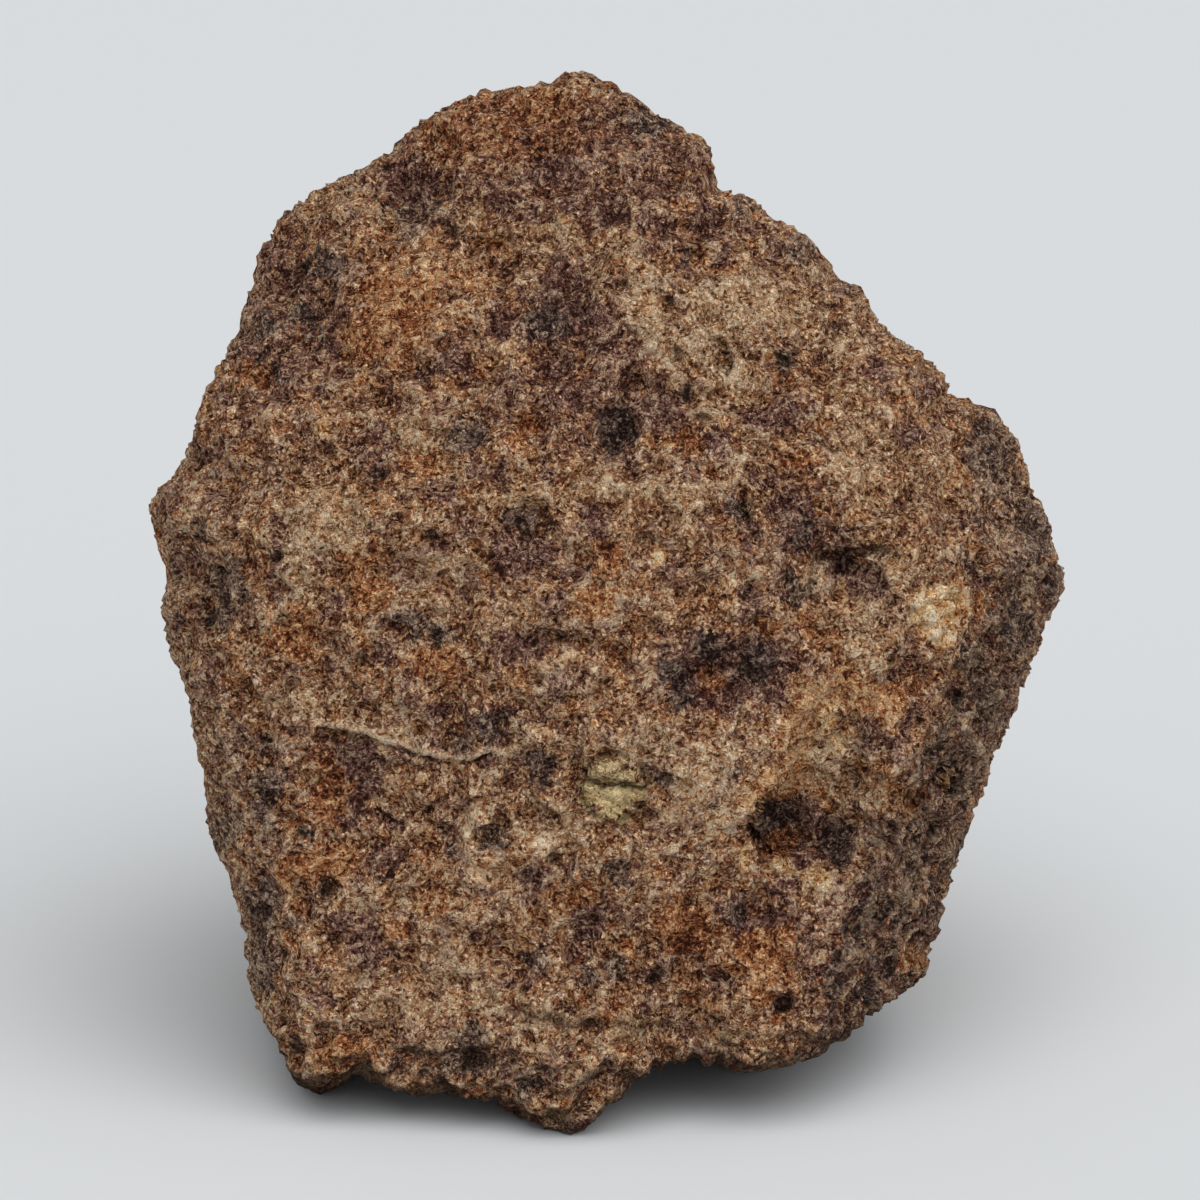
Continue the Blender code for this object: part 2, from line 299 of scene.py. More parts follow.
# The stone, its outline: the rim that the photo shows against the paper, in millimetres from the
# middle of the picture, clockwise from the crown.
OUTLINE = [
    (-3.0, 44.9), (-0.9, 44.8), (1.3, 43.9), (3.1, 42.7), (4.7, 41.7), (7.5, 39.8), (9.7, 38.6),
    (10.0, 36.6), (10.7, 34.8), (12.5, 34.4), (13.9, 33.4), (14.6, 32.5), (16.2, 31.8),
    (17.7, 30.9), (19.6, 28.6), (20.3, 27.3), (22.3, 26.5), (23.7, 23.7), (25.0, 22.4),
    (27.3, 21.1), (29.4, 19.0), (30.0, 17.5), (31.9, 17.0), (33.3, 16.5), (35.3, 13.8),
    (36.0, 12.0), (36.7, 9.5), (38.0, 7.4), (38.5, 4.7), (39.4, 2.6), (39.4, 0.7), (37.8, -2.4),
    (37.2, -4.5), (36.0, -7.1), (34.4, -11.6), (33.2, -13.9), (31.7, -18.5), (30.3, -22.4),
    (29.6, -25.0), (28.2, -30.2), (27.5, -32.1), (25.3, -33.7), (23.5, -34.9), (20.3, -37.6),
    (18.7, -38.7), (15.6, -39.7), (12.8, -40.2), (10.3, -39.9), (7.7, -39.2), (6.1, -39.4),
    (4.5, -40.3), (2.7, -41.5), (2.0, -42.5), (0.6, -43.5), (-0.1, -44.2), (-1.2, -45.1),
    (-2.6, -45.3), (-3.9, -45.1), (-5.5, -44.6), (-9.1, -42.8), (-12.3, -42.1), (-15.3, -42.2),
    (-17.2, -41.7), (-18.8, -41.1), (-21.0, -41.1), (-23.1, -42.2), (-24.5, -41.7), (-25.6, -41.0),
    (-26.7, -39.9), (-27.4, -37.7), (-28.5, -36.0), (-29.4, -34.3), (-30.0, -32.5), (-30.5, -28.1),
    (-31.5, -23.7), (-33.1, -20.1), (-33.6, -17.5), (-33.6, -15.0), (-34.7, -10.7), (-34.9, -8.4),
    (-35.9, -5.8), (-36.6, -4.2), (-37.3, -0.4), (-36.7, 1.9), (-37.7, 4.7), (-38.3, 7.8),
    (-37.7, 9.4), (-36.5, 10.6), (-35.5, 11.6), (-34.8, 13.8), (-33.7, 17.5), (-32.4, 20.0),
    (-30.9, 22.7), (-29.7, 26.8), (-29.3, 28.9), (-28.2, 30.9), (-27.2, 32.5), (-24.7, 34.6),
    (-22.7, 35.5), (-20.1, 36.7), (-18.3, 38.0), (-15.5, 40.5), (-13.7, 41.6), (-11.9, 42.5),
    (-9.7, 43.4), (-7.6, 43.4), (-6.0, 43.7), (-4.1, 44.1),
]
RIM_STEPS = 540
MOST_STRETCH = 0.08
GROUND_MARGIN = 0.06 * MM


def keep_outline(points):
    """Moves the rim in or out in the picture's plane until it follows the outline."""
    across, down = in_picture(points)
    x = (across - PICTURE_MIDDLE) * PIXEL
    z = (PICTURE_MIDDLE - down) * PIXEL
    turn = np.arctan2(z, x)
    radius = np.hypot(x, z)
    step = ((turn + math.pi) / (2 * math.pi) * RIM_STEPS).astype(int) % RIM_STEPS
    rim = np.zeros(RIM_STEPS)
    np.maximum.at(rim, step, radius)
    rim = np.maximum(rim, np.maximum(np.roll(rim, 1), np.roll(rim, -1)) * 0.997)
    middles = (np.arange(RIM_STEPS) + 0.5) / RIM_STEPS * 2 * math.pi - math.pi
    drawn = np.array(OUTLINE) * MM
    drawn_turn = np.arctan2(drawn[:, 1], drawn[:, 0])
    drawn_radius = np.hypot(drawn[:, 0], drawn[:, 1])
    wanted = np.interp(middles, drawn_turn, drawn_radius, period=2 * math.pi)
    stretch = np.clip(wanted / rim, 1.0 - MOST_STRETCH, 1.0 + MOST_STRETCH)
    stretch = (np.roll(stretch, 1) + 2 * stretch + np.roll(stretch, -1)) / 4
    stretch = np.interp(turn, middles, stretch, period=2 * math.pi)
    reach = radius / np.interp(turn, middles, rim, period=2 * math.pi)
    push = radius * (stretch - 1.0) * ease(reach, 0.62, 0.98)
    moved = points.copy()
    moved[:, 0] += push * np.cos(turn)
    moved[:, 1] += push * np.sin(turn) * math.sin(CAMERA_LIFT)
    moved[:, 2] += push * np.sin(turn) * math.cos(CAMERA_LIFT)
    moved[:, 2] = np.where(standing, 0.0, np.maximum(moved[:, 2], 0.0))
    return moved


# The stone, its broken surface: lumps and ledges of a few millimetres, clods of about one, and the
# named marks. Weather has eaten the softer grains, so it is pitted all over. Sizes, heights and
# depths are in millimetres, and places on the front in the photo's pixels.
LUMP_LAYERS = [
    # size, height, octaves, seed
    (7.0, 0.60, 3, 11.0),
    (2.8, 0.50, 3, 23.0),
]
# the other noises: size, octaves, seed
RIDGES = (3.4, 2, 37.0)
SWAYS = [(2.2, 2, 51.0), (2.2, 2, 57.0), (0.9, 2, 71.0), (0.9, 2, 77.0)]
PATCHES = (6.0, 2, 63.0)
RIDGE_SHARPNESS = 3.0
RIDGE_RISE = 0.58
VEIN_SHARPNESS = 8.0
VEIN_RISE = 0.12
# size, seed
CLODS = (1.6, 5.0)
FINE_CLODS = (0.85, 9.0)
CLOD_RISE = 0.22
CLOD_RISE_FINE = 0.13
# spacing, seed
SCATTERED_PITS = (2.9, 3.0)
FLANK_PITS = (1.7, 7.0)
PIT_SHARE = 0.16
FLANK_PIT_SHARE = 0.50
PIT_DEPTH = 0.42
UNDERSIDE_SHADE_HEIGHT = 11.0 * MM
RIGHT_RIDGE = [
    (1000, 560), (956, 652), (920, 732), (864, 820), (856, 860), (832, 940), (816, 996),
    (800, 1056),
]
LEFT_RIDGE = [(240, 500), (232, 620), (240, 720), (290, 880), (270, 1000)]
FLANK_TOP = 420
STREAK_WIDTH = 11.0
STREAK_LENGTH = 38.0
STREAK_LEAN = 0.5
STREAK_RISE = 0.30
CRACKS = [
    # line, half width in pixels, depth, height of the lip
    (LONG_CRACK, 2.4, 0.40, 0.26), (UPRIGHT_CRACK, 3.6, 0.5, 0.0), (HOOK_CRACK, 3.6, 0.4, 0.1),
    (SLOT, 6.0, 0.6, 0.1),
]
LEDGES = [
    # line, height, how far it leans out in pixels
    (RIGHT_LEDGE, 0.6, 34.0), (LOW_LEDGE, 0.35, 30.0),
]
SCOOP_WIDTH = 26.0
SCOOP_DEPTH = 0.2
SCOOP_DEPTH_BELOW = 1.8
SCOOP_RIM_RISE = 0.25
LIGHT_RIDGE_RISE = 0.24
HOLLOWS = [
    # across, down, half width and half height in the photo's pixels, and depth in mm
    (784, 826, 36, 26, 0.90), (836, 838, 24, 30, 0.90), (868, 728, 20, 36, 0.35),
    (950, 780, 20, 18, 1.10), (606, 216, 17, 16, 0.50), (466, 436, 20, 16, 0.40),
    (350, 784, 26, 34, 0.42), (722, 674, 58, 30, 0.45), (556, 304, 40, 30, 0.50),
    (306, 290, 32, 34, 0.40), (916, 800, 14, 14, 0.70), (906, 834, 14, 12, 0.60),
    (617, 428, 28, 30, 0.75), (818, 540, 34, 26, 0.45), (866, 582, 24, 20, 0.35),
    (528, 520, 28, 22, 0.35), (461, 718, 26, 18, 0.35), (540, 768, 18, 18, 0.35),
    (582, 926, 26, 22, 0.30), (764, 908, 30, 22, 0.40), (431, 190, 30, 18, 0.40),
    (500, 470, 22, 18, 0.30), (890, 925, 26, 36, 0.60), (854, 992, 22, 30, 0.60),
    (467, 1052, 18, 16, 0.40), (690, 948, 30, 18, 0.30),
]
INCLUSION_GROOVE = 0.38
INCLUSION_LIP = 0.16
INCLUSION_BULGE = 0.45
INCLUSION_GAP = 0.75
INCLUSION_STEP = 0.16
CHALK_RISE = 0.25
CHALK_GROOVE = 0.14


def shifted(seed):
    """Where the noise of this seed starts."""
    return Vector((seed, seed * 1.7, seed * 0.3))


def field(size, octaves, seed):
    """Smooth noise at each vertex, about -1 to 1, with lumps of size millimetres."""
    return np.array([
        noise.fractal(
            Vector(point) / (size * MM) + shifted(seed), 0.9, 2.1, octaves, noise_basis="PERLIN_NEW"
        )
        for point in points
    ])


def clods(size, seed):
    """Rounded grains at each vertex: 0 in the joints between them and up to 1 on top."""
    heights = []
    for point in points:
        near = noise.voronoi(Vector(point) / (size * MM) + shifted(seed))[0]
        heights.append(min(1.0, (near[1] - near[0]) * 2.2))
    return np.array(heights)


def chance_pits(spacing, seed, share):
    """Ragged pits at chance places: 1 at the bottom of a pit and 0 between them."""
    depths = []
    for point, wobble, likely in zip(points, small_sway, share):
        near, places = noise.voronoi(Vector(point) / (spacing * MM) + shifted(seed))
        chance = 0.5 + 0.5 * noise.cell(places[0] * 977.0)
        radius = 0.10 + 0.35 * chance
        away = near[0] + wobble * 0.07
        depths.append(max(0.0, min(1.0, 1.5 - 1.3 * away / radius)) if chance < likely else 0.0)
    return np.array(depths)


def swayed(amount, small=0.0):
    """The vertices in the picture, swayed by about this many pixels, so that edges look broken."""
    return (
        across + sway * amount + small_sway * small,
        down + sway_down * amount + small_sway_down * small,
    )


def bell(values, middle, width):
    """1 where values are at middle, and a third of that at width from it."""
    return np.exp(-((values - middle) / width) ** 2)


def oval(places, x, y, half_width, half_height):
    """How far places in the picture are from an oval's middle, where 1 is its edge."""
    return np.hypot((places[0] - x) / half_width, (places[1] - y) / half_height)


def dent(x, y, radius, soft):
    """1 within radius pixels of a place on the front, falling to 0 over soft pixels."""
    away = oval(swayed(0.0, radius * 0.5), x, y, 1.0, 1.0)
    return (1.0 - ease(away, radius - soft / 2, radius + soft / 2)) * front


points = read(mesh, "co")
normals = read(mesh, "normal")
standing = points[:, 2] < GROUND_MARGIN
points[standing, 2] = 0.0
rise = np.zeros(len(points))
for size, height, octaves, seed in LUMP_LAYERS:
    rise += field(size, octaves, seed) * height
ridge_field = np.abs(field(*RIDGES))
rise += np.clip(1.0 - ridge_field * RIDGE_SHARPNESS, -0.5, 1.0) * RIDGE_RISE
veins = np.clip(1.0 - ridge_field * VEIN_SHARPNESS, 0.0, 1.0)
upper = ease(rise, -0.60, 0.80)
rise -= rise.mean()
points += normals * (rise * MM)[:, None]
points[:, 2] = np.where(standing, 0.0, np.maximum(points[:, 2], 0.0))
points = keep_outline(points)
points = keep_outline(points)
write(mesh, points)

points = read(mesh, "co")
normals = read(mesh, "normal")
across, down = in_picture(points)
front = ease(toward_camera(points, normals), 0.02, 0.25)
coarse_clods = clods(*CLODS)
fine_clods = clods(*FINE_CLODS)
sway, sway_down, small_sway, small_sway_down = [field(*layer) for layer in SWAYS]
patchy = ease(field(*PATCHES), -0.35, 0.35)
rise = (coarse_clods - 0.5) * CLOD_RISE * (0.45 + 0.9 * patchy) * (0.6 + 0.4 * front)
rise += (fine_clods - 0.5) * CLOD_RISE_FINE * (0.3 + 0.7 * front)
rise += veins * VEIN_RISE
# painted light and shade from the relief: raised parts are marked paler and low parts darker
raised = 0.5 * ease(rise, -0.16, 0.22) + 0.5 * upper

# the flanks, beyond the ridges at the right and left: worn into streaks, with more pits
right_flank = ease(-line_distance(*swayed(8), RIGHT_RIDGE)[1], -6.0, 22.0)
left_flank = ease(line_distance(*swayed(8), LEFT_RIDGE)[1], -6.0, 18.0)
flank = np.maximum(right_flank, left_flank * 0.6) * (down > FLANK_TOP) * front
streak_across = (across + down * STREAK_LEAN * (across > PICTURE_MIDDLE)) / STREAK_WIDTH + sway
streak_down = down / STREAK_LENGTH + sway_down * 0.4
streaks = np.array([
    noise.fractal((x, y, 0.0), 0.9, 2.1, 2, noise_basis="PERLIN_NEW")
    for x, y in zip(streak_across, streak_down)
])
streaks = np.clip(1.0 - np.abs(streaks) * 3.2, 0.0, 1.0) * flank
rise += (streaks - 0.4 * flank) * STREAK_RISE
# painted shade on the undersides: low surfaces that face down are darkened
underside_shade = ease(-normals[:, 2], 0.10, 0.60) * ease(UNDERSIDE_SHADE_HEIGHT - points[:, 2], 0.0, 4.0 * MM)

# pits all over, but not in the inclusion and the chalky patch
inclusion_x, inclusion_y, inclusion_radius = INCLUSION
chalk_x, chalk_y, chalk_radius = CHALK_PATCH
disc = dent(*INCLUSION, 5.0)
chalk = dent(*CHALK_PATCH, 7.0)
pits = chance_pits(*SCATTERED_PITS, PIT_SHARE + 0.2 * flank) * (1.0 - np.maximum(disc, chalk))
pits = np.maximum(pits, chance_pits(*FLANK_PITS, FLANK_PIT_SHARE * flank))
rise -= pits * PIT_DEPTH
# the pits are darkened with painted shade
shade = pits * 0.6
# pale crests: veins and streaks are paler grains, and crack lips and light ridges are partly a
# painted highlight
pale_lines_and_highlights = np.maximum(veins * 0.40, streaks * 0.65)

# cracks: a narrow gap with the lip above it a little raised, the gap darkened with painted shade
# and the lip above paled with a painted highlight
for line, width, depth, lip in CRACKS:
    away, side = line_distance(*swayed(3.0), line)
    gap = bell(away, 0.0, width) * front * (0.4 + 0.6 * ease(small_sway_down, -0.25, 0.25))
    rise -= gap * depth
    rise += bell(away, 0.0, 16.0) * ease(-side, 0.0, 6.0) * front * lip
    pale_lines_and_highlights = np.maximum(pale_lines_and_highlights, bell(away, 6.0, 4.5) * (side < 0) * front * (lip > 0))
    shade = np.maximum(shade, gap)

# ledges: the side to the left of the line stands out and drops off over half a millimetre, with a
# painted shadow along the foot of the drop
for line, height, fall in LEDGES:
    away, side = line_distance(*swayed(4.0), line)
    rise += height * (ease(-side, -4.0, 4.0) - 0.5) * (bell(away, 0.0, fall) * front)
    shade = np.maximum(shade, 0.7 * bell(side, 5.0, 5.0) * (away < 14) * front)

# the scooped hollow: it drops under an orange rim, deepest at its lower left. A band inside the rim
# is stained rust and lifted paler as painted light
away, side = line_distance(*swayed(8.0, 6.0), SCOOP_RIM)
scoop = ease(-side, -1.0, 4.0) * (away < 60) * front * bell(away, 0.0, SCOOP_WIDTH)
rise -= scoop * (SCOOP_DEPTH + SCOOP_DEPTH_BELOW * ease(down, 775.0, 820.0))
rise += bell(away, 6.0, 6.0) * (side > 0) * front * SCOOP_RIM_RISE
scoop_rust_and_light = bell(side, -6.0, 18.0) * (away < 40) * front * (1.0 - 0.7 * ease(down, 790.0, 820.0))

# the long raised veins, paler along their crests, partly as a painted highlight
for line in LIGHT_RIDGES:
    away = line_distance(*swayed(5.0), line)[0]
    crest = bell(away, 0.0, 4.5) * front * (0.4 + 0.6 * ease(small_sway, -0.3, 0.2))
    rise += crest * LIGHT_RIDGE_RISE
    pale_lines_and_highlights = np.maximum(pale_lines_and_highlights, crest * 0.8)

# the broad hollows and the placed pits, both sunk and darkened with painted shade; the hollows are
# also stained plum
hollow_stain_and_shade = np.zeros(len(points))
for x, y, half_width, half_height, depth in HOLLOWS:
    hollow = (1.0 - ease(oval(swayed(6), x, y, half_width, half_height), 0.55, 1.15)) * front
    rise -= hollow * depth
    hollow_stain_and_shade = np.maximum(hollow_stain_and_shade, hollow * min(1.0, depth))
for x, y, radius in PITS:
    hole = dent(x + 2.0, y, radius, 7.0)
    rise -= hole * (0.10 + 0.035 * radius)
    shade = np.maximum(shade, hole * 0.8)

# the round inclusion: a disc in a shallow groove, cracked across, its lower half sunk, with painted
# shade in its crack and groove
from_inclusion = np.hypot(across - inclusion_x, down - inclusion_y)
ring = bell(from_inclusion, inclusion_radius, 3.0) * front
rim_line = bell(from_inclusion, inclusion_radius - 6, 4.0) * front
bulge = np.clip(1.0 - (from_inclusion / inclusion_radius) ** 2, 0.0, 1.0)
rise = rise * (1.0 - 0.65 * disc) - ring * INCLUSION_GROOVE
rise += rim_line * INCLUSION_LIP
rise += disc * bulge * INCLUSION_BULGE
away, side = line_distance(*swayed(2.0), INCLUSION_CRACK)
inclusion_gap = bell(away, 0.0, 3.4) * disc
rise -= inclusion_gap * INCLUSION_GAP
well_inside = ease(inclusion_radius - from_inclusion, 2.0, 8.0)
rise -= disc * ease(side, 0.0, 6.0) * well_inside * INCLUSION_STEP
inclusion_mark = disc * (0.62 + 0.38 * ease(side, 0.0, 4.0))
shade = np.maximum(shade, np.maximum(inclusion_gap, ring * 0.55))

# the chalky patch: a broken white grain in a shallow groove
chalk_away = oval(swayed(7.0), chalk_x, chalk_y, 1.0, 1.0)
rise += chalk * (coarse_clods - 0.5) * CHALK_RISE
rise -= bell(chalk_away, chalk_radius, 3.0) * front * CHALK_GROOVE

points += normals * (rise * MM)[:, None]
points[:, 2] = np.where(standing, 0.0, np.maximum(points[:, 2], 0.0))
write(mesh, points)

# The stone, its stains: the photo's patches, each as across, down, half width and half height in
# its pixels. Rusting iron turned them plum, slate, rust and tan, and the noise breaks their edges.
PLUM_STAINS = {
    "crown": [
        (412, 178, 28, 18), (498, 203, 18, 10), (498, 108, 9, 12), (550, 170, 34, 12),
        (606, 216, 18, 18), (704, 224, 14, 14), (644, 222, 9, 9), (668, 224, 7, 7),
        (724, 252, 8, 8), (650, 196, 14, 8),
    ],
    "brow": [
        (562, 284, 27, 18), (546, 322, 26, 22), (590, 318, 26, 16), (498, 320, 12, 22),
        (458, 356, 13, 13), (426, 376, 8, 8), (378, 436, 12, 12), (574, 396, 30, 14),
        (662, 412, 24, 12), (710, 442, 22, 14), (634, 352, 10, 8), (614, 280, 6, 6),
        (708, 284, 14, 7), (828, 332, 9, 9), (872, 364, 14, 8), (932, 388, 10, 10),
        (770, 416, 30, 16), (908, 436, 11, 13), (756, 476, 8, 8),
    ],
    "middle": [
        (442, 492, 16, 8), (500, 472, 12, 12), (594, 528, 14, 16), (520, 556, 30, 22),
        (276, 556, 7, 22), (524, 644, 28, 18), (748, 602, 13, 13), (726, 674, 62, 34),
        (526, 756, 14, 12), (490, 724, 22, 20), (438, 714, 14, 6), (558, 600, 12, 10),
        (794, 520, 22, 28), (840, 562, 14, 12),
    ],
    "left": [
        (346, 786, 26, 38), (334, 668, 12, 8), (386, 656, 9, 9), (270, 520, 7, 7), (236, 728, 9, 9),
        (370, 756, 13, 12), (356, 816, 14, 12),
    ],
    "foot": [
        (394, 820, 9, 9), (386, 858, 20, 8), (494, 892, 8, 8), (590, 916, 18, 16),
        (342, 924, 10, 10), (370, 944, 14, 20), (478, 932, 8, 8), (654, 976, 12, 12),
        (362, 996, 14, 8), (736, 916, 18, 18), (780, 924, 18, 18), (720, 980, 16, 14),
        (780, 1004, 12, 12), (606, 1060, 9, 9), (398, 1068, 10, 10), (682, 930, 26, 24),
        (540, 880, 10, 10),
    ],
    "scoop": [
        (786, 826, 32, 32), (870, 730, 10, 22), (776, 880, 12, 12), (852, 700, 9, 9),
        (810, 860, 18, 14),
    ],
    "right side": [
        (976, 580, 10, 10), (938, 756, 8, 8), (960, 692, 10, 10), (884, 884, 10, 10),
        (932, 920, 14, 16), (840, 1024, 28, 24), (870, 582, 18, 14), (900, 740, 10, 20),
    ],
}
SLATE_STAINS = {
    "crown": [
        (415, 216, 28, 14), (452, 232, 14, 13), (462, 114, 9, 14), (650, 118, 26, 14),
        (740, 208, 16, 12), (798, 246, 22, 14), (844, 290, 8, 6), (686, 258, 6, 10),
    ],
    "left": [
        (322, 266, 24, 14), (268, 325, 12, 16), (298, 312, 9, 9), (314, 326, 8, 8),
        (262, 360, 8, 8), (280, 372, 10, 10), (382, 476, 10, 10), (228, 590, 16, 34),
        (210, 618, 10, 10), (178, 618, 9, 12), (202, 532, 5, 20), (262, 742, 10, 10),
        (266, 792, 14, 24), (230, 828, 10, 14), (258, 904, 13, 20), (262, 960, 12, 30),
        (294, 924, 8, 8), (304, 832, 9, 9), (326, 888, 10, 10),
    ],
    "middle": [
        (546, 326, 18, 14), (617, 430, 19, 22), (466, 437, 18, 15), (522, 516, 14, 14),
        (784, 360, 11, 11), (668, 296, 8, 8), (688, 390, 7, 7), (740, 506, 9, 9),
        (804, 532, 12, 14), (792, 588, 14, 14), (756, 664, 16, 14), (680, 700, 14, 10),
        (674, 676, 14, 12), (708, 648, 14, 8), (541, 770, 14, 18), (490, 724, 13, 13),
        (458, 748, 11, 11), (662, 780, 9, 9), (400, 618, 14, 7), (422, 626, 14, 8),
        (444, 638, 14, 9), (740, 772, 10, 10),
    ],
    "foot": [
        (458, 852, 9, 9), (490, 836, 14, 14), (382, 880, 10, 10), (618, 872, 10, 16),
        (532, 960, 12, 11), (614, 964, 9, 9), (590, 976, 8, 8), (472, 1062, 19, 18),
        (470, 1034, 16, 10), (442, 1080, 8, 8), (526, 1084, 12, 12), (736, 916, 10, 10),
    ],
    "right": [
        (992, 452, 24, 34), (1034, 532, 16, 34), (1052, 584, 9, 12), (1014, 624, 14, 32),
        (952, 784, 14, 14), (930, 820, 8, 8), (912, 836, 8, 8), (950, 748, 9, 8), (866, 912, 9, 12),
        (850, 936, 8, 12), (836, 966, 8, 14), (832, 992, 10, 10), (864, 992, 12, 12),
        (892, 912, 9, 12), (912, 860, 12, 20), (772, 812, 18, 22), (838, 845, 14, 20),
        (888, 962, 8, 8), (968, 660, 12, 20), (986, 700, 12, 24), (912, 976, 8, 8),
        (960, 850, 12, 24),
    ],
}
RUST_STAINS = {
    "upper left": [
        (400, 305, 38, 42), (422, 282, 24, 10), (460, 280, 12, 11), (424, 464, 18, 14),
        (544, 106, 24, 22), (250, 376, 20, 12), (360, 340, 22, 20), (526, 432, 12, 11),
    ],
    "middle": [
        (366, 590, 22, 20), (352, 612, 8, 7), (348, 560, 8, 18), (372, 550, 7, 18),
        (610, 554, 14, 14), (682, 440, 20, 12), (800, 458, 20, 10), (956, 472, 14, 16),
        (712, 676, 12, 10), (812, 632, 9, 9), (820, 690, 24, 14), (440, 660, 22, 16),
        (600, 600, 22, 16), (300, 640, 16, 22),
    ],
    "low": [
        (322, 858, 30, 14), (290, 870, 14, 14), (582, 892, 11, 10), (394, 928, 11, 11),
        (342, 1048, 26, 14), (682, 928, 28, 24), (756, 992, 16, 12), (916, 960, 14, 12),
        (780, 846, 18, 12), (978, 612, 6, 16), (330, 790, 12, 34), (430, 900, 20, 14),
        (760, 950, 26, 20), (900, 800, 22, 16),
    ],
}
TAN_STAINS = {
    "upper": [
        (598, 276, 14, 12), (654, 330, 9, 30), (696, 332, 28, 44), (706, 408, 14, 12),
        (640, 300, 12, 22), (418, 432, 18, 18), (454, 476, 11, 10), (470, 216, 16, 12),
        (560, 236, 30, 12), (620, 246, 26, 10), (740, 300, 34, 26), (790, 310, 26, 20),
        (850, 400, 20, 26), (740, 380, 24, 20), (840, 340, 22, 14),
    ],
    "middle": [
        (530, 494, 40, 9), (600, 490, 42, 9), (680, 494, 44, 10), (690, 528, 16, 14),
        (322, 516, 34, 32), (322, 540, 13, 12), (446, 560, 12, 14), (754, 438, 7, 6),
        (866, 456, 26, 44), (924, 476, 18, 26), (820, 580, 9, 24), (820, 722, 14, 24),
        (836, 748, 16, 14), (816, 760, 12, 14), (838, 792, 16, 20), (522, 734, 22, 10),
        (562, 748, 14, 12), (714, 814, 14, 12), (744, 858, 7, 18), (816, 880, 17, 16),
        (700, 770, 30, 20), (640, 740, 24, 18),
    ],
    "low": [
        (390, 741, 16, 8), (310, 776, 13, 12), (470, 832, 9, 22), (354, 900, 20, 10),
        (406, 900, 14, 10), (400, 1008, 50, 14), (474, 998, 26, 12), (542, 1024, 26, 14),
        (638, 1030, 20, 12), (606, 1048, 18, 12), (310, 700, 40, 12), (560, 830, 26, 20),
        (300, 560, 16, 40), (724, 1044, 26, 8), (440, 970, 30, 12), (886, 804, 12, 12),
        (866, 640, 20, 26), (900, 560, 26, 16),
    ],
}
CHALK_SPECKS = [
    # across, down, half width, half height, and how white
    (926, 600, 12, 9, 0.75), (948, 592, 15, 8, 0.75), (961, 597, 9, 8, 1.0),
    (918, 612, 7, 12, 0.75), (928, 630, 11, 9, 0.75), (944, 638, 12, 8, 0.95),
    (954, 622, 8, 10, 0.65), (659, 555, 8, 10, 0.9), (744, 860, 5, 16, 0.75),
    (826, 718, 11, 15, 0.62), (838, 742, 11, 10, 0.55), (816, 880, 18, 14, 0.38),
    (780, 866, 14, 7, 0.42), (322, 430, 8, 10, 0.4), (900, 566, 8, 6, 0.4),
]
BROAD_STAINS = [
    # kind, across, down, half width, half height, strength
    ("plum", 560, 160, 220, 90, 0.50), ("plum", 275, 320, 100, 130, 0.55),
    ("plum", 590, 400, 130, 90, 0.46), ("plum", 850, 960, 70, 130, 0.50),
    ("slate", 1000, 520, 50, 120, 0.45), ("rust", 430, 270, 90, 60, 0.45),
    ("rust", 490, 120, 120, 60, 0.55), ("tan", 700, 320, 110, 70, 0.42),
    ("tan", 310, 500, 70, 60, 0.40), ("plum", 810, 920, 80, 50, 0.36),
    ("tan", 420, 900, 90, 50, 0.36), ("rust", 740, 960, 70, 50, 0.42),
]
EDGE_SWAY = 13.0
EDGE_SOFTNESS = 0.75
BROAD_SWAY = 30
SPECK_SWAY = 6
HIDDEN_STAINS = 460
HIDDEN_WEIGHTS = (4, 3, 3, 5)
HIDDEN_SEED = 20


def stain(groups):
    """Paints ovals on the front, each as strong as chance has it, with broken edges."""
    value = np.zeros(len(points))
    for patch in sum(groups.values(), []):
        strength = draw.uniform(0.75, 1.1)
        away = oval(swayed(EDGE_SWAY, EDGE_SWAY * 0.5), *patch)
        inside = 1.0 - ease(away, 1.15 - EDGE_SOFTNESS, 1.15 + EDGE_SOFTNESS)
        value = np.maximum(value, inside * strength)
    return value * front


points = read(mesh, "co")
across, down = in_picture(points)
draw = random.Random(HIDDEN_SEED)
stains = {
    "plum": stain(PLUM_STAINS),
    "slate": stain(SLATE_STAINS),
    "rust": stain(RUST_STAINS),
    "tan": stain(TAN_STAINS),
}

# the flanks are streaked plum and slate, and the hollows are plum
stains["slate"] = np.maximum(stains["slate"], flank * ease(sway, -0.35, 0.45) * 0.70)
stains["plum"] = np.maximum(stains["plum"], flank * ease(-sway, -0.40, 0.40) * 0.80)
stains["plum"] = np.maximum(stains["plum"], hollow_stain_and_shade)
for kind in ("plum", "slate", "tan"):
    stains[kind] *= 1.0 - scoop_rust_and_light
stains["rust"] = np.maximum(stains["rust"], scoop_rust_and_light * 1.3)
for kind, *patch, strength in BROAD_STAINS:
    away = oval(swayed(BROAD_SWAY), *patch)
    stains[kind] = np.maximum(stains[kind], (1.0 - ease(away, 0.4, 1.3)) * front * strength)
# painted shade in the broad hollows
shade = np.maximum(shade, hollow_stain_and_shade * 0.42)
# painted shade on the lower right flank and on the undersides
shade = np.maximum(np.maximum(shade, right_flank * (down > 560) * front * 0.33), underside_shade * 0.9)

